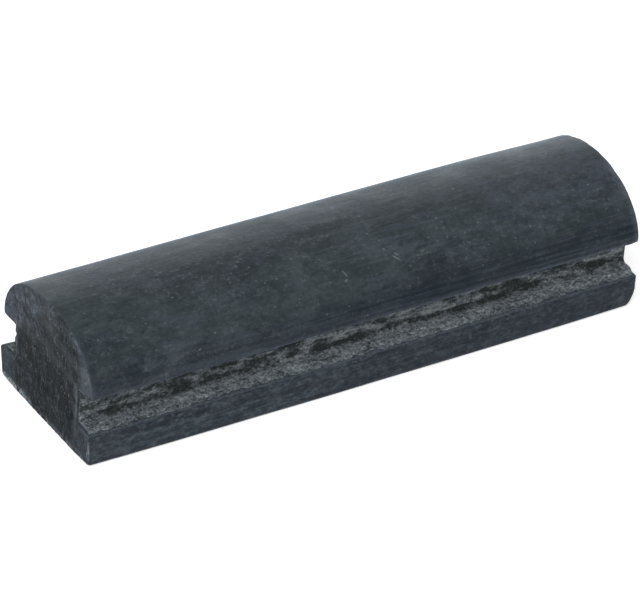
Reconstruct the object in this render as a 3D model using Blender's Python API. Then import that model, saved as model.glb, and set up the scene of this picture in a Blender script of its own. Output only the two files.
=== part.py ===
"""Bar-shaped vibration dampener for the strings of a racket.

A bar of solid black rubber has the same section from end to end: a flat foot, a
narrower web and a domed crown.  The grooves beside the web take two neighbouring
main strings.  Each groove has a thin fibrous lining on its web wall and its ledge.

Frame: X along the bar, Y across it, Z up.  The origin is at the middle of the foot's
underside.  All lengths are in metres.
"""

import math

import bmesh
import bpy

# Bar
BAR_LENGTH = 0.0464
FOOT_WIDTH = 0.0130
FOOT_HEIGHT = 0.0026
FOOT_EDGE_RADIUS = 0.0004
WEB_WIDTH = 0.00905
LIP_HEIGHT = 0.00545
LIP_EDGE_RADIUS = 0.00025
CROWN_WIDTH = 0.01285
CROWN_RISE = 0.00444

# Groove linings
LINING_THICKNESS = 0.0003
LINING_CORNER_RADIUS = 0.0003
BOND_GAP = 0.00003
LIP_CLEARANCE = 0.00005
LEDGE_MARGIN = 0.0003

# Segments of the round stretches
CROWN_QUARTER_STEPS = 20
FOOT_EDGE_STEPS = 6
SMALL_EDGE_STEPS = 4

# Finishes: linear colour, roughness
RUBBER_FINISH = ((0.042, 0.050, 0.057), 0.55)
LINING_FINISH = ((0.090, 0.100, 0.102), 0.95)

PART_NAME = "vibration_dampener"
SECTION_TURN = (math.pi / 2, 0.0, math.pi / 2)
WELD_DISTANCE = 1e-7
SHARP_ANGLE = math.radians(30)


def clear_scene():
    for old in list(bpy.data.objects):
        bpy.data.objects.remove(old, do_unlink=True)


def part_collection():
    parts = bpy.data.collections.new(PART_NAME)
    bpy.context.scene.collection.children.link(parts)
    return parts


def finish(name, colour, roughness):
    material = bpy.data.materials.new(name)
    material.use_nodes = True
    shader = material.node_tree.nodes["Principled BSDF"]
    shader.inputs["Base Color"].default_value = (*colour, 1.0)
    shader.inputs["Roughness"].default_value = roughness
    shader.inputs["Metallic"].default_value = 0.0
    return material


def arc(centre, radii, start, end, steps):
    """Points on an elliptical arc, with both of its ends."""
    points = []
    for step in range(steps + 1):
        angle = start + (end - start) * step / steps
        y = centre[0] + radii[0] * math.cos(angle)
        z = centre[1] + radii[1] * math.sin(angle)
        points.append((y, z))
    return points


def round_corner(centre, radius, start, end, steps):
    return arc(centre, (radius, radius), start, end, steps)


def mirrored(outline):
    """The outline on the other side of the bar, still running the same way round."""
    return [(-y, z) for y, z in reversed(outline)]


def bar_outline():
    """Half of the section, from the underside out and up to the apex, then its mirror."""
    foot_side = FOOT_WIDTH / 2
    web_side = WEB_WIDTH / 2
    crown_side = CROWN_WIDTH / 2
    crown_base = LIP_HEIGHT + LIP_EDGE_RADIUS

    foot_centre = (foot_side - FOOT_EDGE_RADIUS, FOOT_EDGE_RADIUS)
    foot_edge = round_corner(foot_centre, FOOT_EDGE_RADIUS, -math.pi / 2, 0.0, FOOT_EDGE_STEPS)
    groove = [(foot_side, FOOT_HEIGHT), (web_side, FOOT_HEIGHT), (web_side, LIP_HEIGHT)]
    lip_centre = (crown_side - LIP_EDGE_RADIUS, crown_base)
    lip_edge = round_corner(lip_centre, LIP_EDGE_RADIUS, -math.pi / 2, 0.0, SMALL_EDGE_STEPS)
    crown = arc((0.0, crown_base), (crown_side, CROWN_RISE), 0.0, math.pi / 2, CROWN_QUARTER_STEPS)

    apex = [(0.0, crown_base + CROWN_RISE)]
    half = foot_edge + groove + lip_edge + crown[1:-1]
    return half + apex + mirrored(half)


def lining_outline():
    """An L: one leg on the web wall up to the lip, the other on the ledge of the foot."""
    back = WEB_WIDTH / 2 + BOND_GAP
    face = back + LINING_THICKNESS
    underside = FOOT_HEIGHT + BOND_GAP
    top = underside + LINING_THICKNESS
    outer = FOOT_WIDTH / 2 - LEDGE_MARGIN
    head = LIP_HEIGHT - LIP_CLEARANCE

    corner_centre = (face + LINING_CORNER_RADIUS, top + LINING_CORNER_RADIUS)
    corner = round_corner(
        corner_centre, LINING_CORNER_RADIUS, -math.pi / 2, -math.pi, SMALL_EDGE_STEPS
    )
    return [(back, underside), (outer, underside), (outer, top), *corner, (face, head), (back, head)]


def extruded_section(name, outline, length, material, parts):
    """A closed solid with the outline as its section, centred on the origin along X."""
    curve = bpy.data.curves.new(name, "CURVE")
    curve.dimensions = "2D"
    curve.fill_mode = "BOTH"
    curve.extrude = length / 2
    spline = curve.splines.new("POLY")
    spline.points.add(len(outline) - 1)
    for point, (y, z) in zip(spline.points, outline):
        point.co = (y, z, 0.0, 1.0)
    spline.use_cyclic_u = True

    section = bpy.data.objects.new(name + "_section", curve)
    section.rotation_euler = SECTION_TURN
    parts.objects.link(section)
    bpy.context.view_layer.update()

    evaluated = section.evaluated_get(bpy.context.evaluated_depsgraph_get())
    mesh = bpy.data.meshes.new_from_object(evaluated)
    mesh.name = name
    shell = bmesh.new()
    shell.from_mesh(mesh)
    bmesh.ops.remove_doubles(shell, verts=shell.verts, dist=WELD_DISTANCE)
    bmesh.ops.recalc_face_normals(shell, faces=shell.faces)
    shell.to_mesh(mesh)
    shell.free()

    solid = bpy.data.objects.new(name, mesh)
    solid.matrix_world = section.matrix_world
    parts.objects.link(solid)
    bpy.data.objects.remove(section, do_unlink=True)

    mesh.materials.clear()
    mesh.materials.append(material)
    mesh.shade_smooth()
    mesh.set_sharp_from_angle(angle=SHARP_ANGLE)
    return solid


def main():
    clear_scene()
    parts = part_collection()
    rubber = finish("black_rubber", *RUBBER_FINISH)
    fibre = finish("grey_fibre", *LINING_FINISH)

    extruded_section("rubber_bar", bar_outline(), BAR_LENGTH, rubber, parts)
    rear = lining_outline()
    extruded_section("groove_lining_rear", rear, BAR_LENGTH, fibre, parts)
    extruded_section("groove_lining_front", mirrored(rear), BAR_LENGTH, fibre, parts)


main()
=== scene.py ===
"""Looks of a grooved rubber bar that damps the strings of a racket.

Lengths are in millimetres until a mesh, a texture, a lamp or the camera is made, where MM turns them into
metres.  X runs along the bar, Y across it towards the rear groove, and Z from the foot up to the crown.
Colours are linear.
"""

import math

import bmesh
import bpy
import numpy as np
from mathutils import Matrix, Vector, noise


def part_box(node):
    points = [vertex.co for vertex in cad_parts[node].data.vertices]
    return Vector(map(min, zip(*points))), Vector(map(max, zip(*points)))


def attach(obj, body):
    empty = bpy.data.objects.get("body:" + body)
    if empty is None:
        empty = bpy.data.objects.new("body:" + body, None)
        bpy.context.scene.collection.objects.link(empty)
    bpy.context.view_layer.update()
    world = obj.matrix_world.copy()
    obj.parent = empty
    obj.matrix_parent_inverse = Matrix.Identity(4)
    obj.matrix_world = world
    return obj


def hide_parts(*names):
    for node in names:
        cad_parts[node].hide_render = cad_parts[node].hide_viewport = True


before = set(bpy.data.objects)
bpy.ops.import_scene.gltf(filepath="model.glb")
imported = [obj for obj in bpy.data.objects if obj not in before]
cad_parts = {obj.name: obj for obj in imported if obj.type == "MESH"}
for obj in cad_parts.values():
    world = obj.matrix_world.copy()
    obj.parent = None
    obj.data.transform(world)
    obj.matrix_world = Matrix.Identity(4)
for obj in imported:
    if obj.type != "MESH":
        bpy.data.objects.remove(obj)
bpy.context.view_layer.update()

MM = 0.001

# Sizes read from the frame
bar_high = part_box("rubber_bar")[1] / MM
lining_low, lining_high = (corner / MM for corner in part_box("groove_lining_rear"))
BOND_GAP = 0.03
LIP_CLEARANCE = 0.05
HALF_LENGTH = bar_high.x
FOOT_SIDE = bar_high.y
APEX = bar_high.z
WEB_SIDE = lining_low.y - BOND_GAP
FOOT_TOP = lining_low.z - BOND_GAP
LIP = lining_high.z + LIP_CLEARANCE

# Section of the bar, where the frame's boxes don't show it
CROWN_SIDE = 6.425
FOOT_EDGE_RADIUS = 0.25
LEDGE_EDGE_RADIUS = 0.2
LIP_EDGE_RADIUS = 0.18
FLANK_ANGLE = 48.0

# Distortion of the bar: flared ends, a foot bowed to the front, and a full rear shoulder at its Y and Z
FLARE_REACH = 3.0
FLARE_AT_FLOOR = 0.4
LEFT_FLARE = 0.15
RIGHT_FLARE = 0.20
CORNER_FLARE = 0.25
RIGHT_STRETCH = 0.10
FOOT_BOW = 0.15
SHOULDER = (4.8, 8.64)
SHOULDER_SWELL = 0.175
SHOULDER_REACH = 2.2
SHOULDER_FADE_FROM = HALF_LENGTH - 10.0
SHOULDER_FADE_TO = HALF_LENGTH + 0.5

# Depths of the skin's relief and of the worn edges, and how high the right end is worn
SWELL_DEPTH = 0.022
DRAG_DEPTH = 0.006
GRAIN_DEPTH = 0.004
LIP_WEAR = 0.06
LEDGE_WEAR = 0.10
RIGHT_WEAR = 0.65
WORN_HEIGHT = 1.5

# Cut ends: their edges, the ridges of the cut, the crescents along the flanks and the pale top
EDGE_REACH = 0.62
END_RADIUS = 0.07
CORNER_RADIUS = 0.20
UNEVEN_RADIUS = 0.03
CUT_LEAN = 0.25
CUT_DEPTH = 0.03
RIDGE_DEPTH = 0.022
CHATTER_DEPTH = 0.025
CRESCENT_WIDTH = 1.9
CRESCENT_TOP = 0.87
CRESCENT_TIP = 0.05
CRESCENT_DEPTH = 0.16
PALE_TOP_TILT = 0.56
PALE_TOP_HEIGHT = 8.0

# Groove linings
LINING_OUTER = FOOT_SIDE - 0.14
LINING_THICKNESS = 0.3
LINING_CORNER = 0.3
FIBRE_DEPTH = 0.08
RIM_WIDTH = 0.7
RIM_SETBACK = 0.06
RIM_RAGGEDNESS = 0.36
DEEPEST_SETBACK = 0.45
FRAY_REACH = 1.2
LEAST_FRAY = 0.10
FRAY_RANGE = 0.12

# Mesh density: segments of each stretch of the section, and stations along the bar
ARC_SEGMENTS = 12
FLANGE_SEGMENTS = 14
WEB_SEGMENTS = 60
FOOT_ROWS = 16
WEB_ROWS = 12
CROWN_ROWS = 32
BAR_STATIONS = 340
EDGE_STEPS = 6
LINING_STATIONS = 520
LEDGE_SEGMENTS = 22
WALL_SEGMENTS = 28

# Noise on vertices
SEED_STEP = np.array((1.0, 1.7, -0.6))
FRACTAL_DIMENSION = 1.0
LACUNARITY = 2.0

# Colours of the moulded skin
BLUE_BLACK = (0.0140, 0.0172, 0.0232)
GREEN_BLACK = (0.0238, 0.0300, 0.0305)
CLOUD_GREY = (0.047, 0.056, 0.064)
FLOW_BLUE = (0.036, 0.048, 0.065)
MOTTLE_GREY = (0.050, 0.060, 0.071)
MOTTLE_BLACK = (0.0120, 0.0155, 0.0175)
# Painted sheen on the crest's right part
PAINTED_SHEEN_BLUE = (0.054, 0.062, 0.084)
CREST_GREY = (0.060, 0.070, 0.082)
STREAK_GREY = (0.048, 0.060, 0.075)
STREAK_BLACK = (0.0050, 0.0075, 0.0120)
BLOTCH_GREY = (0.052, 0.061, 0.068)
SPECKLE_GREY = (0.106, 0.124, 0.134)
SPECKLE_BLACK = (0.007, 0.010, 0.014)
DUST_GREY = (0.20, 0.23, 0.23)
# Painted shade on the crown's lower flanks
SHADE_BLACK = (0.0050, 0.0075, 0.0130)
SCUFF_GREY = (0.066, 0.079, 0.097)
SCUFF_BLACK = (0.0060, 0.0078, 0.0115)
# Painted shade on the foot, towards the right
FOOT_SHADE_BLACK = (0.0060, 0.0075, 0.0110)
SCRATCH_GREY = (0.11, 0.13, 0.14)
NICK_GREY = (0.16, 0.19, 0.21)
# Painted highlight along the lips
LIP_HIGHLIGHT_BLUE = (0.046, 0.060, 0.082)
SHED_GREY = (0.062, 0.074, 0.084)
# Painted highlight on the rims round the cut ends
RIM_HIGHLIGHT_GREY = (0.34, 0.37, 0.39)

# Colours of the cut ends, which also use RIM_HIGHLIGHT_GREY
CORE_BLACK = (0.0080, 0.0094, 0.0100)
MARGIN_BLUE = (0.045, 0.055, 0.072)
WARM_BLACK = (0.024, 0.021, 0.019)
CUT_CLOUD_GREY = (0.042, 0.050, 0.060)
CUT_CLOUD_BLACK = (0.0050, 0.0060, 0.0066)
PATCH_GREY = (0.062, 0.072, 0.086)
PATCH_BLACK = (0.0035, 0.0042, 0.0048)
CUT_STREAK_GREY = (0.066, 0.076, 0.090)
CUT_STREAK_BLACK = (0.004, 0.005, 0.006)
SCRAPE_GREY = (0.110, 0.124, 0.138)
GRAIN_GREY = (0.108, 0.122, 0.132)
GRAIN_BLACK = (0.005, 0.006, 0.007)
PIT_GREY = (0.128, 0.145, 0.172)
PIT_BLACK = (0.018, 0.021, 0.025)
CUT_DUST_GREY = (0.26, 0.29, 0.29)
TORN_GREY = (0.32, 0.36, 0.38)

# Colours of the linings
BARE_BLACK = (0.0310, 0.0380, 0.0375)
FIBRE_GREY = (0.118, 0.137, 0.150)
TUFT_GREY = (0.265, 0.292, 0.300)
SHRED_GREY = (0.150, 0.168, 0.172)
SHRED_BLACK = (0.0150, 0.0190, 0.0190)
TIP_GREY = (0.40, 0.43, 0.42)

# Short scratches on the crown: middle, tilt in degrees, length
NICKS = (
    ((3.04, -4.47, 8.86), 30.0, 0.75),
    ((3.16, -4.35, 9.02), 30.0, 0.40),
    ((-1.36, -4.54, 8.81), 56.0, 0.55),
    ((-1.49, -4.97, 8.49), -17.0, 0.40),
)
NICK_WIDTH = 0.13
NICK_REACH = 2.0
NICK_SHARE = 0.42

# Camera, from the photograph: angles in degrees, focal length in pixels of a frame of FRAME_WIDTH pixels
VIEW_AZIMUTH = -33.02
VIEW_ELEVATION = 33.28
VIEW_ROLL = 3.56
FOCAL_PIXELS = 4780.8
FRAME_WIDTH = 640.0
VIEW_DISTANCE = 350.1
VIEW_TARGET = (-0.405, 0.0, 3.58)
SENSOR_WIDTH = 36.0

# Studio: the floor lies just under the bar, so that the two don't share a plane
FLOOR_HALF = 2000.0
FLOOR_LEVEL = -0.02
FLOOR_GREY = (0.8, 0.8, 0.8, 1.0)
FLOOR_GLOW = 0.45
WHITE = (1.0, 1.0, 1.0, 1.0)
WORLD_STRENGTH = 0.6


def fractal(points, scale, octaves, seed):
    """Fractal noise of about -1 to 1 at points in millimetres, stretched by a scale for each axis."""
    places = points.reshape(-1, 3) * np.array(scale) + seed * SEED_STEP
    values = [noise.fractal(Vector(place), FRACTAL_DIMENSION, LACUNARITY, octaves) for place in places]
    return np.array(values).reshape(points.shape[:-1])


def smooth_step(low, high, value):
    share = np.clip((value - low) / (high - low), 0.0, 1.0)
    return share * share * (3.0 - 2.0 * share)


def bell(offset, reach):
    """1 where the offset is 0, about a third at the reach, and soon 0 beyond it."""
    return np.exp(-((offset / reach) ** 2))


def near(points, y, z, reach):
    """A bell round a line along the bar, at y on either side and at z."""
    return bell(np.hypot(np.abs(points[..., 1]) - y, points[..., 2] - z), reach)


def line(start, end, segments):
    share = np.linspace(0.0, 1.0, segments + 1)[:, None]
    return (1.0 - share) * np.array(start) + share * np.array(end)


def arc(centre, radii, start, end, segments):
    angle = np.radians(np.linspace(start, end, segments + 1))
    return np.stack([centre[0] + radii[0] * np.cos(angle), centre[1] + radii[1] * np.sin(angle)], 1)


def half_corners(centre, radius, start):
    """A rounded corner that turns by 90 degrees from the start, as two arcs."""
    radii = (radius, radius)
    first = arc(centre, radii, start, start + 45, ARC_SEGMENTS)
    second = arc(centre, radii, start + 45, start + 90, ARC_SEGMENTS)
    return first, second


def even(points, segments):
    """The same path, with its points spread evenly along its length."""
    steps = np.linalg.norm(np.diff(points, axis=0), axis=1)
    along = np.concatenate([[0.0], np.cumsum(steps)])
    wanted = np.linspace(0.0, along[-1], segments + 1)
    return np.stack([np.interp(wanted, along, points[:, axis]) for axis in (0, 1)], 1)


def join(*paths):
    """Paths that meet end to end, as one, with each shared point once."""
    return np.concatenate([paths[0]] + [path[1:] for path in paths[1:]])


def mirror(path):
    """The path on the other side of the bar, run the other way."""
    return path[::-1] * np.array((-1.0, 1.0))


def section():
    """The stretches of the bar's outline in order, anticlockwise seen from +X, from the lower left."""
    foot_centre = (FOOT_SIDE - FOOT_EDGE_RADIUS, FOOT_EDGE_RADIUS)
    under, side = half_corners(foot_centre, FOOT_EDGE_RADIUS, -90)
    ledge_centre = (FOOT_SIDE - LEDGE_EDGE_RADIUS, FOOT_TOP - LEDGE_EDGE_RADIUS)
    ledge_edge, ledge_turn = half_corners(ledge_centre, LEDGE_EDGE_RADIUS, 0)
    lip_centre = (CROWN_SIDE - LIP_EDGE_RADIUS, LIP + LIP_EDGE_RADIUS)
    lip_turn, lip_edge = half_corners(lip_centre, LIP_EDGE_RADIUS, -90)
    crown_centre = (0.0, LIP + LIP_EDGE_RADIUS)
    crown_radii = (CROWN_SIDE, APEX - crown_centre[1])
    columns = 2 * FLANGE_SEGMENTS + WEB_SEGMENTS

    bottom = join(mirror(under), line(mirror(under)[-1], under[0], ARC_SEGMENTS), under)
    foot = join(side, line(side[-1], ledge_edge[0], ARC_SEGMENTS), ledge_edge)
    ledge = join(ledge_turn, line(ledge_turn[-1], (WEB_SIDE, FOOT_TOP), ARC_SEGMENTS))
    wall = line((WEB_SIDE, FOOT_TOP), (WEB_SIDE, LIP), WEB_ROWS)
    lip = join(line(wall[-1], lip_turn[0], ARC_SEGMENTS), lip_turn)
    flank = join(lip_edge, arc(crown_centre, crown_radii, 0, FLANK_ANGLE, 4 * ARC_SEGMENTS))
    top = arc(crown_centre, crown_radii, FLANK_ANGLE, 180 - FLANK_ANGLE, 8 * ARC_SEGMENTS)
    right = {
        "foot": even(foot, FOOT_ROWS),
        "ledge": even(ledge, FLANGE_SEGMENTS),
        "wall": wall,
        "lip": even(lip, FLANGE_SEGMENTS),
        "flank": even(flank, CROWN_ROWS),
    }
    stretches = [("bottom", even(bottom, columns))]
    stretches += [(name + "_right", path) for name, path in right.items()]
    stretches += [("top", even(top, columns))]
    stretches += [(name + "_left", mirror(path)) for name, path in reversed(right.items())]
    return stretches


def outline_of(stretches):
    """All the stretches as one closed loop of points, and the loop's indices along each stretch."""
    loop = []
    index = {}
    total = sum(len(path) - 1 for _, path in stretches)
    for name, path in stretches:
        first = len(loop)
        index[name] = [(first + step) % total for step in range(len(path))]
        loop.extend(path[:-1])
    return np.array(loop), index


def loop_normals(loop):
    """Outward normals of a closed anticlockwise loop."""
    along = np.roll(loop, -1, axis=0) - np.roll(loop, 1, axis=0)
    normals = np.stack([along[:, 1], -along[:, 0]], 1)
    return normals / np.linalg.norm(normals, axis=1)[:, None]


def rings_along(stations, loop):
    """A section's loop, repeated at each station along X."""
    rings = np.zeros((len(stations), len(loop), 3))
    rings[..., 0] = stations[:, None]
    rings[..., 1:] = loop
    return rings


def coons(bottom, top, left, right):
    """A grid of points that fills the space between four paths."""
    u = np.linspace(0.0, 1.0, len(bottom))[None, :, None]
    v = np.linspace(0.0, 1.0, len(left))[:, None, None]
    across = (1 - v) * bottom[None] + v * top[None]
    upward = (1 - u) * left[:, None] + u * right[:, None]
    corners = (1 - v) * ((1 - u) * bottom[0] + u * bottom[-1]) + v * ((1 - u) * top[0] + u * top[-1])
    return across + upward - corners


def grid_faces(ids, flip):
    """Quads of a grid of vertex numbers."""
    a, b, c, d = ids[:-1, :-1], ids[:-1, 1:], ids[1:, 1:], ids[1:, :-1]
    quads = np.stack([a, b, c, d], -1).reshape(-1, 4)
    return quads[:, ::-1] if flip else quads


def wrapped(ids):
    """The vertex numbers of closed rings, with each ring's first number again at its end."""
    return np.concatenate([ids, ids[:, :1]], 1)


class Shell:
    """Vertices and faces of the bar, gathered piece by piece, with a mark on the faces of the cut ends."""

    def __init__(self):
        self.points = np.zeros((0, 3))
        self.faces = np.zeros((0, 4), int)
        self.cut = np.zeros(0, np.int32)

    def add_points(self, places):
        """Takes in a grid of vertices and gives their numbers as the same grid."""
        first = len(self.points)
        self.points = np.concatenate([self.points, places.reshape(-1, 3)])
        return np.arange(first, len(self.points)).reshape(places.shape[:-1])

    def add_faces(self, ids, flip, cut):
        quads = grid_faces(ids, flip)
        self.faces = np.concatenate([self.faces, quads])
        self.cut = np.concatenate([self.cut, np.full(len(quads), cut, np.int32)])


def mesh_object(name, points, faces, materials, attributes):
    mesh = bpy.data.meshes.new(name)
    mesh.from_pydata((points * MM).tolist(), [], faces.tolist())
    for material in materials:
        mesh.materials.append(material)
    for label, values in attributes.items():
        attribute = mesh.attributes.new(label, "FLOAT", "POINT")
        attribute.data.foreach_set("value", values.astype(np.float32))
    mesh.shade_smooth()
    mesh.update()
    made = bpy.data.objects.new(name, mesh)
    bpy.context.scene.collection.objects.link(made)
    return made


def bar_relief(points):
    """How far the moulded skin stands out of the true section."""
    swell = SWELL_DEPTH * fractal(points, (0.09, 0.22, 0.22), octaves=3, seed=3.0)
    drag = DRAG_DEPTH * fractal(points, (0.22, 2.6, 2.6), octaves=3, seed=11.0)
    grain = GRAIN_DEPTH * fractal(points, (1.8, 2.4, 2.4), octaves=3, seed=23.0)
    return swell + drag + grain + rear_shoulder(points)


def rear_shoulder(points):
    """The rear shoulder of the crown is fuller than an ellipse, except towards the right end."""
    gap = np.hypot(points[..., 1] - SHOULDER[0], points[..., 2] - SHOULDER[1])
    full = smooth_step(SHOULDER_FADE_TO, SHOULDER_FADE_FROM, points[..., 0])
    return SHOULDER_SWELL * bell(gap, SHOULDER_REACH) * full


def edge_wear(points):
    """Depth of the nibbled edges: the lips and the outer edges of the ledges."""
    nibble = np.clip(fractal(points, (1.6, 0.4, 0.4), octaves=4, seed=31.0) + 0.1, 0.0, 1.0)
    lips = near(points, y=CROWN_SIDE, z=LIP + 0.15, reach=0.3)
    ledges = near(points, y=FOOT_SIDE, z=FOOT_TOP, reach=0.25)
    return nibble * (LIP_WEAR * lips + LEDGE_WEAR * ledges)


def end_radius(points):
    """Radius of the worn edge round a cut end: largest at the foot's corners."""
    flange = smooth_step(WEB_SIDE, FOOT_SIDE, np.abs(points[..., 1]))
    foot = smooth_step(FOOT_TOP + 0.3, FOOT_TOP - 0.3, points[..., 2])
    uneven = np.clip(fractal(points, (0.3, 0.9, 0.9), octaves=3, seed=37.0), -1.0, 1.0)
    return END_RADIUS + CORNER_RADIUS * flange * foot + UNEVEN_RADIUS * uneven


def end_flare(points):
    """Shifts along X and Y: the foot flares at the ends, is worn off at the right and bows to the front."""
    x, y, z = points[..., 0], points[..., 1], points[..., 2]
    foot = smooth_step(FOOT_TOP + 0.5, FOOT_TOP - 0.2, z)
    rise = np.clip(z / FOOT_TOP, 0.0, 1.0)
    left = smooth_step(-HALF_LENGTH + FLARE_REACH, -HALF_LENGTH, x) * foot
    left *= FLARE_AT_FLOOR + (1.0 - FLARE_AT_FLOOR) * rise
    right = smooth_step(HALF_LENGTH - FLARE_REACH, HALF_LENGTH, x)
    worn = RIGHT_WEAR * np.clip(1.0 - z / WORN_HEIGHT, 0.0, 1.0) ** 2
    along = right * (RIGHT_STRETCH + RIGHT_FLARE * foot - worn) - LEFT_FLARE * left
    corner = CORNER_FLARE * left * smooth_step(WEB_SIDE, FOOT_SIDE, y)
    front = smooth_step(-WEB_SIDE, -FOOT_SIDE, y)
    bow = FOOT_BOW * (1.0 - rise) * (1.0 - (x / HALF_LENGTH) ** 4) * front
    return along, corner - bow


def crescent_share(points):
    """0 inside the crown of a cut end, rising to 1 across the crescent along each flank."""
    rise = np.clip((points[..., 2] - LIP) / (APEX - LIP), 0.0, 1.0)
    outer = CROWN_SIDE * np.sqrt(1.0 - rise**2)
    width = CRESCENT_WIDTH * np.clip(1.0 - rise / CRESCENT_TOP, CRESCENT_TIP, 1.0)
    share = (np.abs(points[..., 1]) - outer + width) / width
    return np.clip(share, 0.0, 1.0) * (points[..., 2] > LIP)


def end_relief(points):
    """How far a cut end lies behind the true end: ridges of the cut, and the left end's front crescent."""
    leaning = points.copy()
    leaning[..., 1] -= CUT_LEAN * leaning[..., 2]
    ridges = RIDGE_DEPTH * fractal(leaning, (0.3, 4.2, 0.55), octaves=4, seed=41.0)
    chatter = CHATTER_DEPTH * fractal(leaning, (0.3, 1.1, 0.25), octaves=2, seed=47.0)
    left_front = (points[..., 0] < 0.0) * (points[..., 1] < 0.0)
    facet = CRESCENT_DEPTH * crescent_share(points) * left_front
    return np.maximum(CUT_DEPTH + ridges + chatter, 0.0) + facet


def end_margin(places, loop):
    """Two shares on the cut ends: their paler margin, and their smooth crescents and flanges."""
    y, z = places[:, 1], places[:, 2]
    stray = fractal(places, (0.4, 0.6, 0.5), octaves=4, seed=53.0)
    rim = np.array([np.hypot(*(loop - place).T).min() for place in places[:, 1:]])
    crescent = smooth_step(0.0, 0.12, crescent_share(places) + 0.04 * stray)
    flange = smooth_step(FOOT_TOP + 0.4, FOOT_TOP - 0.6, z) * smooth_step(3.6, 5.6, np.abs(y) + stray)
    band = smooth_step(0.65, 0.05, rim + 0.4 * stray)
    above = z + PALE_TOP_TILT * y - PALE_TOP_HEIGHT
    top = smooth_step(-0.9, 0.9, above + 1.3 * stray)
    margin = np.maximum.reduce([crescent, 0.8 * band, top, 0.8 * flange])
    return margin, np.maximum(crescent, flange)


def painted_rim_highlight(places):
    """Painted highlights on the edges round the cut ends: the foot's upright edges, and faintly the crown's
    and the web's.
    """
    y, z = np.abs(places[:, 1]), places[:, 2]
    inward = HALF_LENGTH - np.abs(places[:, 0])
    patchy = np.clip(0.55 + fractal(places, (0.3, 0.3, 1.1), octaves=3, seed=59.0), 0.0, 1.0)
    upright = smooth_step(0.2, 0.8, z) * smooth_step(FOOT_TOP - 0.2, FOOT_TOP - 1.1, z)
    corner = bell(np.hypot(inward, y - FOOT_SIDE) - 0.11, reach=0.045) * upright
    crown = bell(inward - 0.12, reach=0.10) * smooth_step(LIP - 0.1, LIP + 0.3, z)
    on_web = (inward < 0.3) * (z > FOOT_TOP) * (z < LIP + 0.5)
    web = bell(y - WEB_SIDE + 0.05, reach=0.08) * on_web
    return patchy * np.maximum.reduce([0.9 * corner, 0.15 * crown, 0.22 * web])


def bar_rings(loop):
    """The loop along the whole bar, with its relief; the outermost rings make the worn edges of the ends."""
    inner = np.linspace(-HALF_LENGTH + EDGE_REACH, HALF_LENGTH - EDGE_REACH, BAR_STATIONS)
    ends = np.full(EDGE_STEPS + 1, HALF_LENGTH)
    stations = np.concatenate([-ends, inner, ends])
    rings = rings_along(stations, loop)
    out = bar_relief(rings) - edge_wear(rings)
    for step, angle in enumerate(np.radians(np.linspace(90.0, 0.0, EDGE_STEPS + 1))):
        for row in (step, len(stations) - 1 - step):
            radius = end_radius(rings[row])
            depth = radius * (1.0 - math.sin(angle)) + end_relief(rings[row])
            out[row] -= radius * (1.0 - math.cos(angle))
            rings[row, :, 0] -= np.sign(stations[row]) * depth
    rings[..., 1:] += out[..., None] * loop_normals(loop)
    rings[..., 2] = np.maximum(rings[..., 2], 0.0)
    return rings


def close_cut_end(shell, edge, station, flip):
    """Fills a cut end with three grids of quads: the foot, the web and the crown.
    The edge holds the vertex numbers round the end, by stretch of the section."""

    def add(flat):
        """New vertices of the cut end, from their places across it."""
        places = np.concatenate([np.full((*flat.shape[:-1], 1), station), flat], -1)
        places[..., 0] -= np.sign(station) * end_relief(places)
        return shell.add_points(places)

    def bridge(start, end):
        """Vertices between the two web walls, without the walls themselves."""
        return add(line(shell.points[start, 1:], shell.points[end, 1:], WEB_SEGMENTS)[1:-1])

    def patch(bottom, top, left, right):
        grid = np.zeros((len(left), len(bottom)), int)
        grid[0], grid[-1], grid[:, 0], grid[:, -1] = bottom, top, left, right
        flat = coons(*(shell.points[side, 1:] for side in (bottom, top, left, right)))
        grid[1:-1, 1:-1] = add(flat[1:-1, 1:-1])
        shell.add_faces(grid, flip, cut=True)

    low = bridge(edge["ledge_left"][0], edge["ledge_right"][-1])
    high = bridge(edge["lip_left"][-1], edge["lip_right"][0])
    foot_top = np.concatenate([edge["ledge_left"][::-1], low, edge["ledge_right"][::-1]])
    crown_base = np.concatenate([edge["lip_left"], high, edge["lip_right"]])
    web = slice(FLANGE_SEGMENTS, -FLANGE_SEGMENTS)
    patch(edge["bottom"], foot_top, edge["foot_left"][::-1], edge["foot_right"])
    patch(foot_top[web], crown_base[web], edge["wall_left"][::-1], edge["wall_right"])
    patch(crown_base, edge["top"][::-1], edge["flank_left"][::-1], edge["flank_right"])


def build_bar(skin, cut):
    """The bar: a moulded skin along it and a cut face at each end."""
    loop, index = outline_of(section())
    shell = Shell()
    ids = shell.add_points(bar_rings(loop))
    shell.add_faces(wrapped(ids), flip=False, cut=False)
    for ring, station, flip in ((ids[0], -HALF_LENGTH, True), (ids[-1], HALF_LENGTH, False)):
        edge = {name: ring[numbers] for name, numbers in index.items()}
        close_cut_end(shell, edge, station, flip)

    places = shell.points
    margin, smooth = end_margin(places, loop)
    # The rims' share is a painted highlight on the edges round the ends
    shares = {"cut_margin": margin, "cut_smooth": smooth, "painted_rim_highlight": painted_rim_highlight(places)}
    along, across = end_flare(places)
    places[:, 0] += along
    places[:, 1] += across
    bar = mesh_object("rubber_bar_skin", places, shell.faces, [skin, cut], shares)
    bar.data.polygons.foreach_set("material_index", shell.cut)
    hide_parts("rubber_bar")
    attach(bar, "root")


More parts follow.
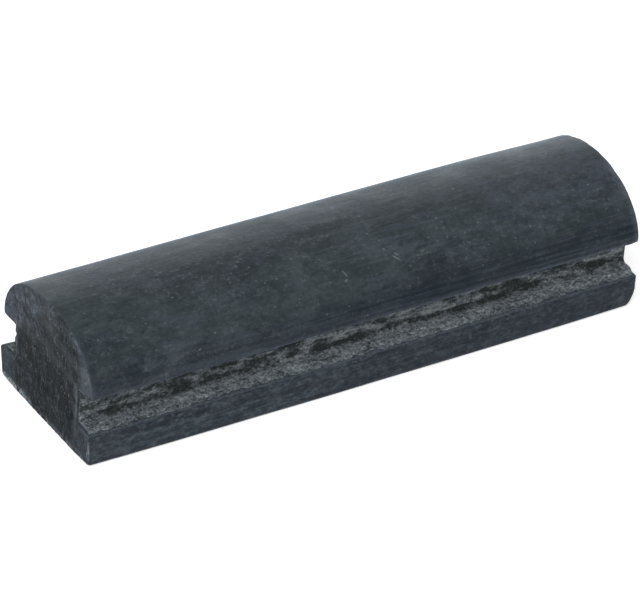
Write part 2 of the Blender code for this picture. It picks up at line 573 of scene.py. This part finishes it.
def lining_section():
    """The lining's face from the ledge's outer edge to under the lip, then its flat back."""
    back = WEB_SIDE + BOND_GAP
    face = back + LINING_THICKNESS
    underside = FOOT_TOP + BOND_GAP
    top = underside + LINING_THICKNESS
    head = LIP - LIP_CLEARANCE
    corner_centre = (face + LINING_CORNER, top + LINING_CORNER)
    corner = arc(corner_centre, (LINING_CORNER, LINING_CORNER), -90, -180, ARC_SEGMENTS)
    rim = line((LINING_OUTER, underside), (LINING_OUTER, top), 4)
    ledge = join(rim, line(rim[-1], corner[0], ARC_SEGMENTS))
    wall = join(corner, line(corner[-1], (face, head), ARC_SEGMENTS))
    face_path = join(even(ledge, LEDGE_SEGMENTS), even(wall, WALL_SEGMENTS))
    top_edge = line((face, head), (back, head), 2)
    wall_back = line((back, head), (back, underside), 6)
    ledge_back = line((back, underside), (LINING_OUTER, underside), 4)
    return face_path, join(top_edge, wall_back, ledge_back)


def fibre_and_painted_light(rings, rim, ends, side):
    """How much fibre is left on a lining, below 0 where it is worn off and about 1 on a tuft, with painted
    light beside the groove's corner and painted shade in that corner at the left end.
    The rim and the ends are shares, 1 at the ledge's outer edge and at the ends of the bar."""
    x, z = rings[..., 0], rings[..., 2]
    clumps = fractal(rings, (0.75, 2.4, 2.4), octaves=5, seed=5.0 + side)
    grit = fractal(rings, (3.6, 5.0, 5.0), octaves=3, seed=17.0 + side)
    on_wall = smooth_step(FOOT_TOP + 0.30, FOOT_TOP + 0.52, z)
    up_wall = smooth_step(FOOT_TOP + 0.5, LIP, z)
    left_end = smooth_step(-17.0, -22.0, x)
    left = smooth_step(-5.0, -13.0, x)
    right = smooth_step(8.0, 14.0, x)
    strip = on_wall * bell(z - FOOT_TOP - 0.58, reach=0.28)
    painted_light_by_corner = near(rings, y=WEB_SIDE + 0.78, z=FOOT_TOP + 0.33, reach=0.28)
    painted_shade_in_corner = near(rings, y=WEB_SIDE + 0.45, z=FOOT_TOP + 0.45, reach=0.16)

    # More on the wall than on the ledge, less towards the wall's top, in clumps and grit
    height = 0.22 + 0.18 * on_wall - 0.20 * up_wall
    height += (0.45 + (0.85 - 0.10 * left) * on_wall) * clumps
    height += (0.55 - 0.05 * on_wall) * (1.0 - 0.8 * rim) * grit

    # Worn off along a strip low on the wall; thinner on the wall's left and right parts and upper ends
    height -= (0.55 - 0.25 * left - 0.25 * right) * strip
    height -= on_wall * (0.40 * left + 0.16 * right - 0.10 * left_end) + 0.3 * ends * up_wall

    # Thinner right of the middle; higher beside the corner, as painted light against the corner's shade, but
    # lower in the corner at the left end, as painted shade
    height -= 0.15 * smooth_step(6.0, 12.0, x)
    height += (0.15 - 0.10 * on_wall) * smooth_step(11.0, 17.0, x)
    return height + (1.0 - left_end) * 0.40 * painted_light_by_corner - 0.5 * left_end * painted_shade_in_corner


def settle_rim(rings, rim, ragged):
    """Lowers the ledge's outer edge onto the rubber, draws it back unevenly and keeps all in the groove."""
    base = FOOT_TOP + BOND_GAP
    setback = np.clip(RIM_SETBACK + RIM_RAGGEDNESS * ragged, 0.0, DEEPEST_SETBACK)
    y = rings[..., 1] - rim * setback
    z = base + (rings[..., 2] - base) * (1.0 - 0.8 * rim) - BOND_GAP * rim
    rings[..., 1] = np.maximum(y, WEB_SIDE + BOND_GAP)
    rings[..., 2] = np.clip(z, FOOT_TOP, LIP - LIP_CLEARANCE)


def fray_ends(rings, ends, side):
    """Draws the left end of a lining back unevenly, and lets the right one follow the stretched bar."""
    stray = np.clip(fractal(rings, (0.0, 1.6, 1.6), octaves=3, seed=43.0 + side) + 0.3, 0.0, 1.0)
    frayed = LEAST_FRAY + FRAY_RANGE * stray
    rings[..., 0] += np.where(rings[..., 0] < 0.0, frayed, RIGHT_STRETCH - 0.3 * frayed) * ends


def build_lining(name, node, side, material):
    """A worn layer of fibre with a rough face; side is 1 at the rear groove and -1 at the front one."""
    face_path, back_path = lining_section()
    loop = join(face_path, back_path)[:-1]
    rings = rings_along(np.linspace(-HALF_LENGTH, HALF_LENGTH, LINING_STATIONS + 1), loop)
    rim = smooth_step(RIM_WIDTH, 0.0, LINING_OUTER - rings[..., 1])
    ends = smooth_step(HALF_LENGTH - FRAY_REACH, HALF_LENGTH, np.abs(rings[..., 0]))
    height = fibre_and_painted_light(rings, rim, ends, side)
    ragged = fractal(rings, (1.4, 0.2, 0.2), octaves=5, seed=29.0 + side)

    depth = FIBRE_DEPTH * np.clip(height - 0.2, -1.6, 0.9) * (1.0 - rim) * (1.0 - 0.7 * ends)
    depth[:, len(face_path):] = 0.0
    rings[..., 1:] += depth[..., None] * loop_normals(loop)
    settle_rim(rings, rim, ragged)
    fray_ends(rings, ends, side)
    rings[..., 1] *= side

    shown = np.maximum(height - 0.12 * rim, -0.8)
    ids = np.arange(shown.size).reshape(shown.shape)
    quads = grid_faces(wrapped(ids), side < 0)
    shares = {"fibre_and_painted_light": shown.reshape(-1)}
    lining = mesh_object(name, rings.reshape(-1, 3), quads, [material], shares)
    close_ends(lining)
    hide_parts(node)
    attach(lining, "root")


def close_ends(made):
    """Fills the open rims at the two ends of a swept mesh."""
    swept = bmesh.new()
    swept.from_mesh(made.data)
    rims = [edge for edge in swept.edges if edge.is_boundary]
    caps = bmesh.ops.holes_fill(swept, edges=rims, sides=0)["faces"]
    bmesh.ops.triangulate(swept, faces=caps)
    bmesh.ops.recalc_face_normals(swept, faces=swept.faces)
    swept.to_mesh(made.data)
    swept.free()


class Graph:
    """A material under construction: a Principled shader, the nodes that feed it and the colour so far."""

    def __init__(self, name):
        self.material = bpy.data.materials.new(name)
        self.material.use_nodes = True
        self.tree = self.material.node_tree
        self.shader = self.tree.nodes["Principled BSDF"]
        self.place = self.node("ShaderNodeTexCoord").outputs["Object"]
        self.colour = None

    def node(self, kind, **settings):
        made = self.tree.nodes.new(kind)
        for name, value in settings.items():
            setattr(made, name, value)
        return made

    def feed(self, socket, value):
        if isinstance(value, bpy.types.NodeSocket):
            self.tree.links.new(value, socket)
        else:
            socket.default_value = value

    def plain(self, **values):
        """Shader values that are the same all over; an underscore stands for a space in a name."""
        for name, value in values.items():
            self.shader.inputs[name.replace("_", " ")].default_value = value

    def axes(self):
        split = self.node("ShaderNodeSeparateXYZ")
        self.feed(split.inputs["Vector"], self.place)
        return [split.outputs[axis] for axis in "XYZ"]

    def attribute(self, name):
        return self.node("ShaderNodeAttribute", attribute_name=name).outputs["Fac"]

    def spread(self, per_mm, turn=(0.0, 0.0, 0.0)):
        """Coordinates in which one unit is one feature, from features for each millimetre along X, Y and Z.
        The turn, in radians about X, Y and Z, comes first."""
        turned = self.node("ShaderNodeMapping")
        self.feed(turned.inputs["Vector"], self.place)
        turned.inputs["Rotation"].default_value = turn
        mapping = self.node("ShaderNodeMapping")
        self.feed(mapping.inputs["Vector"], turned.outputs["Vector"])
        mapping.inputs["Scale"].default_value = [value / MM for value in per_mm]
        return mapping.outputs["Vector"]

    def noise(self, per_mm, detail, rough, seed, turn=(0.0, 0.0, 0.0), bend=0.0):
        made = self.node("ShaderNodeTexNoise", noise_dimensions="4D")
        self.feed(made.inputs["Vector"], self.spread(per_mm, turn))
        made.inputs["W"].default_value = seed
        made.inputs["Scale"].default_value = 1.0
        made.inputs["Detail"].default_value = detail
        made.inputs["Roughness"].default_value = rough
        made.inputs["Distortion"].default_value = bend
        return made.outputs["Fac"]

    def ramp(self, value, low, high, start=0.0, end=1.0):
        """The value's range low to high, spread over start to end."""
        made = self.node("ShaderNodeMapRange", interpolation_type="SMOOTHSTEP")
        self.feed(made.inputs["Value"], value)
        made.inputs["From Min"].default_value = low
        made.inputs["From Max"].default_value = high
        made.inputs["To Min"].default_value = start
        made.inputs["To Max"].default_value = end
        return made.outputs["Result"]

    def along(self, axis, low, high, start=0.0, end=1.0):
        """A ramp along an axis of the bar, between two places in millimetres."""
        return self.ramp(axis, low * MM, high * MM, start, end)

    def math(self, operation, first, *others):
        """One operation on two values, or on more of them in turn."""
        for other in others:
            made = self.node("ShaderNodeMath", operation=operation)
            self.feed(made.inputs[0], first)
            self.feed(made.inputs[1], other)
            first = made.outputs["Value"]
        return first

    def times(self, *values):
        return self.math("MULTIPLY", *values)

    def mix(self, share, first, second):
        """Colour that goes from first, a colour or a socket, to second, a colour."""
        made = self.node("ShaderNodeMix", data_type="RGBA")
        self.feed(made.inputs["Factor"], share)
        self.feed(made.inputs["A"], first if isinstance(first, bpy.types.NodeSocket) else (*first, 1.0))
        self.feed(made.inputs["B"], (*second, 1.0))
        return made.outputs["Result"]

    def ground(self, share, first, second):
        """The colour that all the others lie on."""
        self.colour = self.mix(share, first, second)

    def lay(self, colour, share):
        """Lays a colour over what is there, by a share of 0 to 1."""
        self.colour = self.mix(share, self.colour, colour)

    def bump(self, height, strength, distance):
        made = self.node("ShaderNodeBump")
        self.feed(made.inputs["Height"], height)
        made.inputs["Strength"].default_value = strength
        made.inputs["Distance"].default_value = distance * MM
        self.feed(self.shader.inputs["Normal"], made.outputs["Normal"])

    def done(self):
        self.feed(self.shader.inputs["Base Color"], self.colour)
        return self.material


def specks(graph, per_mm, size, share):
    """Up to 1 on small round specks: one in each Voronoi cell, in a share of the cells, some fainter."""
    made = graph.node("ShaderNodeTexVoronoi", feature="F1")
    graph.feed(made.inputs["Vector"], graph.spread(per_mm))
    made.inputs["Scale"].default_value = 1.0
    spot = graph.ramp(made.outputs["Distance"], size, size * 0.3)
    chosen = graph.node("ShaderNodeSeparateColor")
    graph.feed(chosen.inputs["Color"], made.outputs["Color"])
    picked = graph.math("LESS_THAN", chosen.outputs["Red"], share)
    return graph.times(spot, graph.times(picked, chosen.outputs["Green"]))


def stroke(graph, centre, tilt, length, width):
    """1 along a short straight mark on one side of the bar, by its middle and its tilt from X to -Z."""
    mapping = graph.node("ShaderNodeMapping", vector_type="TEXTURE")
    graph.feed(mapping.inputs["Vector"], graph.place)
    mapping.inputs["Location"].default_value = Vector(centre) * MM
    mapping.inputs["Rotation"].default_value = (0.0, math.radians(tilt), 0.0)
    mapping.inputs["Scale"].default_value = Vector((length / 2, NICK_REACH, width / 2)) * MM
    away = graph.node("ShaderNodeVectorMath", operation="LENGTH")
    graph.feed(away.inputs["Vector"], mapping.outputs["Vector"])
    return graph.ramp(away.outputs["Value"], 1.0, 0.5)


class SkinGraph(Graph):
    """The moulded skin's material, with the noises and the zones that its layers share."""

    def __init__(self):
        super().__init__("moulded_rubber")
        self.x, _, self.z = self.axes()
        self.tint = self.noise((0.09, 0.26, 0.26), detail=3.0, rough=0.5, seed=1.0)
        self.cloud = self.noise((0.30, 0.42, 0.42), detail=4.0, rough=0.60, seed=2.0, bend=0.6)
        self.mottle = self.noise((0.60, 0.85, 0.85), detail=5.0, rough=0.66, seed=25.0, bend=0.3)
        self.flow = self.noise((0.16, 1.9, 1.9), detail=3.0, rough=0.6, seed=3.0, bend=1.2)
        self.streak = self.noise((0.11, 4.2, 4.2), detail=4.0, rough=0.65, seed=13.0)
        self.speckle = self.noise((3.2, 4.4, 4.4), detail=3.0, rough=0.65, seed=4.0)
        self.on_crown = self.along(self.z, LIP + 0.8, LIP + 2.4)
        self.on_crest = self.along(self.z, LIP + 2.3, LIP + 3.5)
        self.on_foot = self.along(self.z, FOOT_TOP, FOOT_TOP - 0.3)

    def between(self, low, low_full, high_full, high):
        """1 in a band of heights, fading out below and above it."""
        return self.times(self.along(self.z, low, low_full), self.along(self.z, high, high_full))

    def lay_moulding(self):
        """Bluer at the lips and on the foot, greener on the crown, with clouds and mottles."""
        greener = self.math("ADD", self.tint, self.times(self.on_crown, 0.30))
        self.ground(self.ramp(greener, 0.55, 0.85), BLUE_BLACK, GREEN_BLACK)
        clouded = self.ramp(self.cloud, 0.42, 0.66, 0.0, 0.68)
        self.lay(CLOUD_GREY, self.times(clouded, self.ramp(self.on_crown, 0.0, 1.0, 0.6, 1.0)))
        self.lay(FLOW_BLUE, self.ramp(self.flow, 0.50, 0.64, 0.0, 0.28))
        self.lay(MOTTLE_GREY, self.ramp(self.mottle, 0.50, 0.64, 0.0, 0.38))
        self.lay(MOTTLE_BLACK, self.ramp(self.mottle, 0.48, 0.36, 0.0, 0.35))

    def lay_crest(self):
        """Painted sheen, bluish and mottled, at the right of the crest, and flow lines right of its middle.
        """
        sheen_share = self.times(self.on_crest, self.along(self.x, 8.0, 17.0))
        self.lay(PAINTED_SHEEN_BLUE, self.times(sheen_share, self.ramp(self.mottle, 0.38, 0.64, 0.10, 0.50)))
        lined = self.times(self.on_crest, self.along(self.x, -6.0, 1.0), self.along(self.x, 15.0, 8.0))
        self.lay(CREST_GREY, self.times(lined, self.ramp(self.flow, 0.50, 0.60, 0.0, 0.26)))

    def lay_streaks(self):
        """Streaks along the bar, strongest below the crown's upper part and on the foot."""
        low = self.ramp(self.on_crown, 0.0, 1.0, 0.60, 0.16)
        share = self.math("ADD", low, self.times(self.on_foot, 0.33))
        self.lay(STREAK_GREY, self.times(self.ramp(self.streak, 0.46, 0.74), share))
        self.lay(STREAK_BLACK, self.times(self.ramp(self.streak, 0.48, 0.28), share))

    def lay_speckle(self):
        """Blotches, with pale speckle gathered on them, dark speckle all over, and dust."""
        blotch = self.noise((0.7, 1.2, 1.2), detail=4.0, rough=0.62, seed=9.0)
        self.lay(BLOTCH_GREY, self.ramp(blotch, 0.46, 0.78, 0.0, 0.60))
        gathered = self.ramp(blotch, 0.38, 0.62, 0.18, 0.85)
        gathered = self.times(gathered, self.ramp(self.tint, 0.35, 0.62, 1.0, 0.45))
        self.lay(SPECKLE_GREY, self.times(self.ramp(self.speckle, 0.50, 0.78), gathered))
        self.lay(SPECKLE_BLACK, self.ramp(self.speckle, 0.46, 0.30, 0.0, 0.45))
        self.lay(DUST_GREY, self.times(specks(self, (2.1, 2.5, 2.5), size=0.22, share=0.28), 0.48))

    def lay_flank(self):
        """Painted shade on the crown's lower flanks, above the lips, darker towards the right."""
        flank = self.between(LIP + 0.20, LIP + 0.55, LIP + 0.80, LIP + 3.30)
        flank = self.times(flank, self.along(self.x, -14.0, 8.0, 0.0, 0.80))
        self.lay(SHADE_BLACK, self.times(flank, self.ramp(self.streak, 0.38, 0.62, 1.0, 0.35)))

    def lay_foot(self):
        """The foot is scuffed, and has painted shade that darkens it towards the right."""
        scuff = self.noise((1.6, 2.8, 2.8), detail=4.0, rough=0.68, seed=24.0)
        self.lay(SCUFF_GREY, self.times(self.on_foot, self.ramp(scuff, 0.52, 0.64, 0.0, 0.70)))
        self.lay(SCUFF_BLACK, self.times(self.on_foot, self.ramp(scuff, 0.49, 0.38, 0.0, 0.55)))
        self.lay(FOOT_SHADE_BLACK, self.times(self.on_foot, self.along(self.x, -14.0, 14.0, 0.0, 0.28)))

    def lay_scratches(self):
        """Slanting hairlines in the clouds, and single nicks."""
        hair = self.noise((0.30, 7.0, 7.0), detail=1.0, rough=0.5, seed=21.0, turn=(0.0, 0.0, 0.55))
        clouded = self.ramp(self.cloud, 0.50, 0.58, 0.0, 0.6)
        self.lay(SCRATCH_GREY, self.times(self.ramp(hair, 0.69, 0.76), clouded))
        for centre, tilt, length in NICKS:
            self.lay(NICK_GREY, self.times(stroke(self, centre, tilt, length, NICK_WIDTH), NICK_SHARE))

    def lay_edges(self):
        """Painted highlights along the lips, shed fibre on the ledges' outer edges, and painted highlights on
        the rims at the ends.
        """
        # A painted highlight along each lip's edge
        lip = self.between(LIP - 0.05, LIP + 0.08, LIP + 0.14, LIP + 0.32)
        self.lay(LIP_HIGHLIGHT_BLUE, self.times(lip, self.ramp(self.tint, 0.35, 0.62, 0.05, 0.6)))
        ledge = self.between(FOOT_TOP - 0.18, FOOT_TOP - 0.04, FOOT_TOP + 0.10, FOOT_TOP + 0.16)
        self.lay(SHED_GREY, self.times(ledge, self.ramp(self.speckle, 0.38, 0.58, 0.25, 0.9)))
        self.lay(RIM_HIGHLIGHT_GREY, self.attribute("painted_rim_highlight"))

    def set_surface(self):
        """A satin gloss, a bluish bloom at grazing angles, and fine relief."""
        self.feed(self.shader.inputs["Roughness"], self.ramp(self.cloud, 0.3, 0.7, 0.44, 0.58))
        self.plain(Specular_IOR_Level=0.18, Specular_Tint=(0.64, 0.84, 1.0, 1.0))
        self.plain(Sheen_Weight=0.68, Sheen_Roughness=0.20, Sheen_Tint=(0.52, 0.74, 1.0, 1.0))
        fine = self.noise((6.0, 9.0, 9.0), detail=2.0, rough=0.6, seed=14.0)
        relief = self.math("ADD", fine, self.math("ADD", self.speckle, self.streak))
        self.bump(relief, strength=0.40, distance=0.03)


class CutGraph(Graph):
    """The cut ends' material, with the noises and the zones that its layers share."""

    def __init__(self):
        super().__init__("cut_rubber")
        self.lean = (math.atan(CUT_LEAN), 0.0, 0.0)
        self.patch = self.noise((0.5, 1.7, 0.95), detail=6.0, rough=0.70, seed=16.0, turn=self.lean, bend=0.4)
        self.streak = self.noise((0.3, 3.0, 0.9), detail=5.0, rough=0.70, seed=6.0, turn=self.lean, bend=0.4)
        self.scrape = self.noise((0.3, 4.2, 1.3), detail=3.0, rough=0.6, seed=12.0, turn=self.lean)
        self.grain = self.noise((3.4, 3.8, 3.2), detail=4.0, rough=0.7, seed=7.0)
        self.margin = self.attribute("cut_margin")
        self.marked = self.ramp(self.attribute("cut_smooth"), 0.0, 1.0, 1.0, 0.35)

    def lay_core(self):
        """A dark core, brownish in places, inside a paler margin."""
        warm = self.noise((0.4, 1.4, 0.6), detail=3.0, rough=0.6, seed=15.0, turn=self.lean)
        self.ground(self.margin, CORE_BLACK, MARGIN_BLUE)
        core = self.math("SUBTRACT", 1.0, self.margin)
        self.lay(WARM_BLACK, self.times(core, self.ramp(warm, 0.54, 0.66, 0.0, 0.45)))

    def lay_marks(self):
        """Clouds, patches, streaks and scrapes, most of them fainter on the smooth parts."""
        cloud = self.noise((0.4, 0.60, 0.42), detail=4.0, rough=0.6, seed=5.0)
        self.lay(CUT_CLOUD_GREY, self.ramp(cloud, 0.53, 0.61, 0.0, 0.36))
        self.lay(CUT_CLOUD_BLACK, self.times(self.marked, self.ramp(cloud, 0.50, 0.41, 0.0, 0.85)))
        self.lay(PATCH_GREY, self.times(self.marked, self.ramp(self.patch, 0.52, 0.62, 0.0, 0.60)))
        self.lay(PATCH_BLACK, self.times(self.marked, self.ramp(self.patch, 0.48, 0.38, 0.0, 0.90)))
        self.lay(CUT_STREAK_GREY, self.times(self.marked, self.ramp(self.streak, 0.55, 0.67, 0.0, 0.45)))
        self.lay(CUT_STREAK_BLACK, self.times(self.marked, self.ramp(self.streak, 0.46, 0.35, 0.0, 0.70)))
        self.lay(SCRAPE_GREY, self.ramp(self.scrape, 0.61, 0.73, 0.0, 0.50))

    def lay_grain(self):
        """Grain all over, pits in the margin, fainter on its smooth parts, and dust."""
        self.lay(GRAIN_GREY, self.ramp(self.grain, 0.55, 0.67, 0.0, 0.62))
        self.lay(GRAIN_BLACK, self.ramp(self.grain, 0.47, 0.34, 0.0, 0.75))
        pits = self.noise((0.5, 2.4, 1.7), detail=5.0, rough=0.70, seed=30.0, turn=self.lean, bend=0.5)
        pitted = self.times(self.margin, self.marked)
        self.lay(PIT_GREY, self.times(pitted, self.ramp(pits, 0.53, 0.62, 0.0, 0.55)))
        self.lay(PIT_BLACK, self.times(pitted, self.ramp(pits, 0.51, 0.41, 0.0, 0.90)))
        self.lay(CUT_DUST_GREY, self.times(specks(self, (2.2, 2.2, 2.2), size=0.22, share=0.22), 0.6))

    def lay_edges(self):
        """The torn lower edge, most of it towards the rear, and painted highlights on the rims."""
        _, y, z = self.axes()
        torn = self.times(self.along(z, 0.75, 0.25), self.along(y, 1.0, 4.5, 0.25, 1.0))
        torn = self.times(torn, self.ramp(self.patch, 0.45, 0.54), self.ramp(self.grain, 0.40, 0.54))
        self.lay(TORN_GREY, torn)
        self.lay(RIM_HIGHLIGHT_GREY, self.attribute("painted_rim_highlight"))

    def set_surface(self):
        """Matt, with the relief of the cut."""
        self.plain(Roughness=0.75, Specular_IOR_Level=0.15, Specular_Tint=(0.70, 0.86, 1.0, 1.0))
        relief = self.math("ADD", self.grain, self.math("ADD", self.streak, self.scrape))
        self.bump(relief, strength=0.7, distance=0.07)


def skin_material():
    """Satin rubber, clouded, streaked along the bar, dusty, scuffed and scratched."""
    skin = SkinGraph()
    skin.lay_moulding()
    skin.lay_crest()
    skin.lay_streaks()
    skin.lay_speckle()
    skin.lay_flank()
    skin.lay_foot()
    skin.lay_scratches()
    skin.lay_edges()
    skin.set_surface()
    return skin.done()


def cut_material():
    """Matt rubber with the marks of the cut, paler at its margin."""
    cut = CutGraph()
    cut.lay_core()
    cut.lay_marks()
    cut.lay_grain()
    cut.lay_edges()
    cut.set_surface()
    return cut.done()


def lining_material():
    """Grey fibre, dark where it is worn off and pale on its tufts and tips, with painted light beside the
    groove's corner and painted shade in that corner at the left end.
    """
    graph = Graph("worn_fibre")
    fuzz = graph.noise((4.0, 5.5, 5.5), detail=4.0, rough=0.75, seed=8.0)
    shreds = graph.noise((5.5, 8.0, 8.0), detail=3.0, rough=0.7, seed=18.0)
    uneven = graph.times(graph.math("SUBTRACT", fuzz, 0.5), 4.4)
    lifted = graph.math("ADD", graph.attribute("fibre_and_painted_light"), uneven)
    graph.ground(graph.ramp(lifted, -0.55, 0.50), BARE_BLACK, FIBRE_GREY)
    graph.lay(TUFT_GREY, graph.ramp(lifted, 0.30, 1.15, 0.0, 0.9))
    graph.lay(SHRED_GREY, graph.ramp(shreds, 0.54, 0.68, 0.0, 0.45))
    graph.lay(SHRED_BLACK, graph.ramp(shreds, 0.47, 0.35, 0.0, 0.70))
    tips = specks(graph, (4.2, 4.2, 4.2), size=0.30, share=0.22)
    graph.lay(TIP_GREY, graph.times(tips, graph.ramp(lifted, -0.4, 0.4, 0.10, 0.55)))
    graph.plain(Roughness=0.95, Specular_IOR_Level=0.10)
    graph.bump(fuzz, strength=0.6, distance=0.06)
    return graph.done()


def add_camera():
    turn, rise, roll = (math.radians(angle) for angle in (VIEW_AZIMUTH, VIEW_ELEVATION, VIEW_ROLL))
    back = Vector((math.sin(turn) * math.cos(rise), -math.cos(turn) * math.cos(rise), math.sin(rise)))
    level = Vector((math.cos(turn), math.sin(turn), 0.0))
    upright = back.cross(level)
    right = math.cos(roll) * level + math.sin(roll) * upright
    up = math.cos(roll) * upright - math.sin(roll) * level
    data = bpy.data.cameras.new("photo_camera")
    data.sensor_fit = "HORIZONTAL"
    data.sensor_width = SENSOR_WIDTH
    data.lens = FOCAL_PIXELS / FRAME_WIDTH * SENSOR_WIDTH
    camera = bpy.data.objects.new("photo_camera", data)
    camera.matrix_world = Matrix((right, up, back)).transposed().to_4x4()
    camera.location = (Vector(VIEW_TARGET) + VIEW_DISTANCE * back) * MM
    bpy.context.scene.collection.objects.link(camera)
    bpy.context.scene.camera = camera


def add_floor():
    """A pale floor; its glow is there only for the camera, glossy and transmission rays."""
    graph = Graph("white_floor")
    path = graph.node("ShaderNodeLightPath")
    rays = [path.outputs[f"Is {kind} Ray"] for kind in ("Camera", "Glossy", "Transmission")]
    glow = graph.times(graph.math("MAXIMUM", *rays), FLOOR_GLOW)
    graph.plain(Base_Color=FLOOR_GREY, Roughness=1.0, Specular_IOR_Level=0.0, Emission_Color=WHITE)
    graph.feed(graph.shader.inputs["Emission Strength"], glow)
    mesh = bpy.data.meshes.new("floor")
    sides = ((-1, -1), (1, -1), (1, 1), (-1, 1))
    corners = [Vector((x * FLOOR_HALF, y * FLOOR_HALF, FLOOR_LEVEL)) * MM for x, y in sides]
    mesh.from_pydata(corners, [], [(0, 1, 2, 3)])
    mesh.materials.append(graph.material)
    floor = bpy.data.objects.new("floor", mesh)
    bpy.context.scene.collection.objects.link(floor)


def add_world():
    world = bpy.data.worlds.new("studio")
    world.use_nodes = True
    background = world.node_tree.nodes["Background"]
    background.inputs["Color"].default_value = WHITE
    background.inputs["Strength"].default_value = WORLD_STRENGTH
    bpy.context.scene.world = world


def add_lamp(name, place, size, watts, colour):
    """A square soft box that faces the bar."""
    data = bpy.data.lights.new(name, "AREA")
    data.color = colour
    data.size = size * MM
    data.energy = watts
    lamp = bpy.data.objects.new(name, data)
    lamp.location = Vector(place) * MM
    lamp.rotation_euler = (-Vector(place)).to_track_quat("-Z", "Y").to_euler()
    bpy.context.scene.collection.objects.link(lamp)


build_bar(skin_material(), cut_material())
fibre = lining_material()
build_lining("groove_fibre_front", "groove_lining_front", -1, fibre)
build_lining("groove_fibre_rear", "groove_lining_rear", 1, fibre)
add_floor()
add_world()
add_lamp("key_soft_box", (-180.0, -160.0, 320.0), size=260.0, watts=1.1, colour=(1.0, 1.0, 1.0))
add_lamp("rear_soft_box", (190.0, 370.0, 105.0), size=170.0, watts=0.25, colour=(0.88, 0.95, 1.0))
add_camera()
bpy.context.scene.view_settings.view_transform = "Standard"
